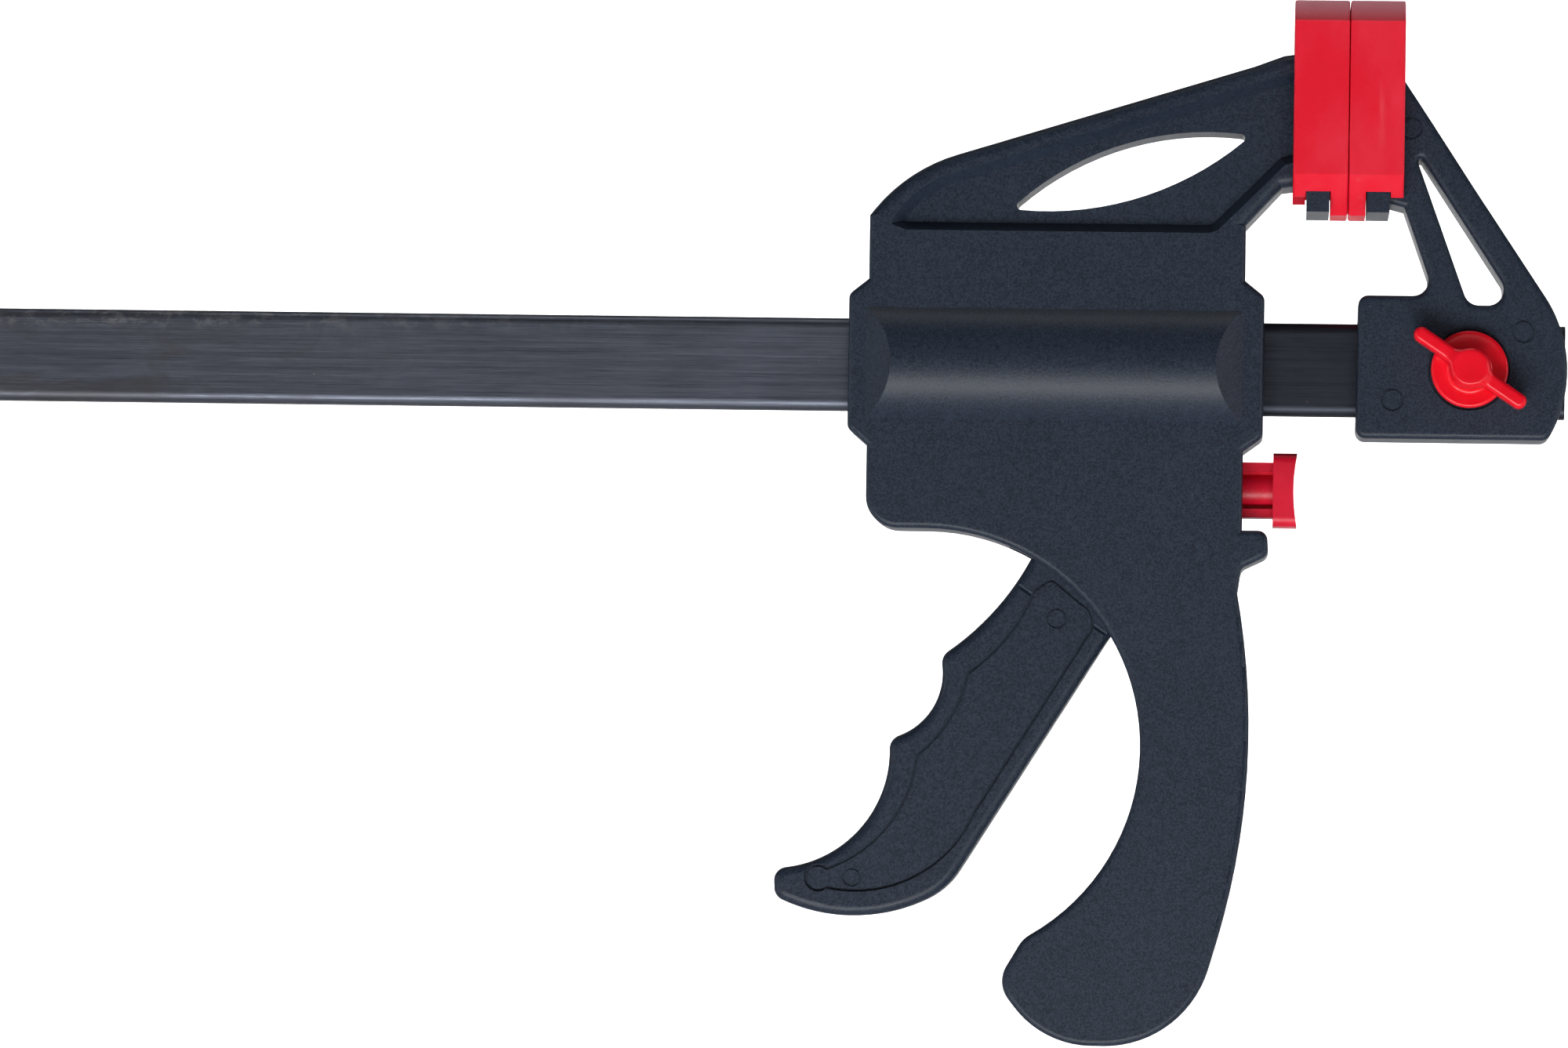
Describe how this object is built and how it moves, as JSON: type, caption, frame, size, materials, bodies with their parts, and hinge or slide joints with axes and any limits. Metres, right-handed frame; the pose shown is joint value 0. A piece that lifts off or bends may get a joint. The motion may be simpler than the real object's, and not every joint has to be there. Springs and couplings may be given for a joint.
{
  "type": "f clamp",
  "caption": "One-handed bar clamp: pistol grip with trigger and quick release riding on a flat steel bar, a fixed jaw held by a wing screw, and push-on pads.",
  "frame": {"origin": "on the bar's centre line, at the working face of the fixed pad, where the clamping gap begins", "axes": "+X along the bar towards the fixed jaw, +Z from the bar to the pads, +Y to the side with the screws"},
  "size_m": [0.6099, 0.0326, 0.2137],
  "materials": {
    "black_nylon": "fine moulded grain",
    "red_pad": "soft, matte",
    "red_knob": "glossy",
    "red_button": "semi-matte",
    "blued_steel": "blued, brushed along the bar",
    "hardened_steel": "ground",
    "spring_steel": "oiled",
    "zinc_steel": "zinc plated"
  },
  "bodies": {
    "clamp_body": {"body_front_shell": "black_nylon", "body_back_shell": "black_nylon", "shell_screws": "zinc_steel", "trigger_pivot_pin": "hardened_steel", "drive_spring": "spring_steel", "brake_spring": "spring_steel"},
    "trigger": {"trigger_lever": "black_nylon"},
    "drive": {"drive_plate": "hardened_steel"},
    "brake": {"brake_plate": "hardened_steel"},
    "release": {"release_button": "red_button"},
    "moving_jaw_pad": {"moving_pad": "red_pad"},
    "bar_and_jaw": {"bar": "blued_steel", "fixed_jaw": "black_nylon", "jaw_nut": "zinc_steel"},
    "fixed_jaw_pad": {"fixed_pad": "red_pad"},
    "screw_washer": {"knob_washer": "zinc_steel"},
    "wing_screw": {"knob_screw": "zinc_steel", "wing_knob": "red_knob"}
  },
  "joints": [
    {"name": "bar_slide", "type": "slide", "parent": "clamp_body", "child": "bar_and_jaw", "axis": [1, 0, 0], "range_m": [0, 0.457]},
    {"name": "trigger_pull", "type": "hinge", "parent": "clamp_body", "child": "trigger", "pos_m": [-0.0456, 0, -0.02403], "axis": [0, -1, 0], "range_deg": [0, 20], "stiffness_Nm_per_rad": 1.2, "springref_deg": -8.59},
    {"name": "drive_plate_push", "type": "slide", "parent": "clamp_body", "child": "drive", "axis": [-1, 0, 0], "range_m": [0, 0.0042], "deforming": ["drive_spring"]},
    {"name": "release_press", "type": "slide", "parent": "clamp_body", "child": "release", "axis": [-1, 0, 0], "range_m": [0, 0.0028], "stiffness_N_per_m": 500, "springref_m": -0.003},
    {"name": "brake_plate_tilt", "type": "hinge", "parent": "clamp_body", "child": "brake", "pos_m": [-0.0301, 0, 0.01553], "axis": [0, 1, 0], "range_deg": [0, 4], "deforming": ["brake_spring"]},
    {"name": "moving_pad_slide", "type": "slide", "parent": "clamp_body", "child": "moving_jaw_pad", "axis": [0, 0, 1], "range_m": [0, 0.045]},
    {"name": "fixed_pad_slide", "type": "slide", "parent": "bar_and_jaw", "child": "fixed_jaw_pad", "axis": [0, 0, 1], "range_m": [0, 0.045]},
    {"name": "wing_screw_travel", "type": "slide", "parent": "bar_and_jaw", "child": "screw_washer", "axis": [0, -1, 0], "range_m": [0, 0.002]},
    {"name": "wing_screw_turn", "type": "hinge", "parent": "screw_washer", "child": "wing_screw", "pos_m": [0.025, 0, 0], "axis": [0, -1, 0], "range_deg": [0, 720]}
  ],
  "couplings": [
    {"joint": "drive_plate_push", "follows": "trigger_pull", "m_per_rad": 0.01175},
    {"joint": "brake_plate_tilt", "follows": "release_press", "rad_per_m": 24.2},
    {"joint": "wing_screw_turn", "follows": "wing_screw_travel", "rad_per_m": 6283.2}
  ]
}
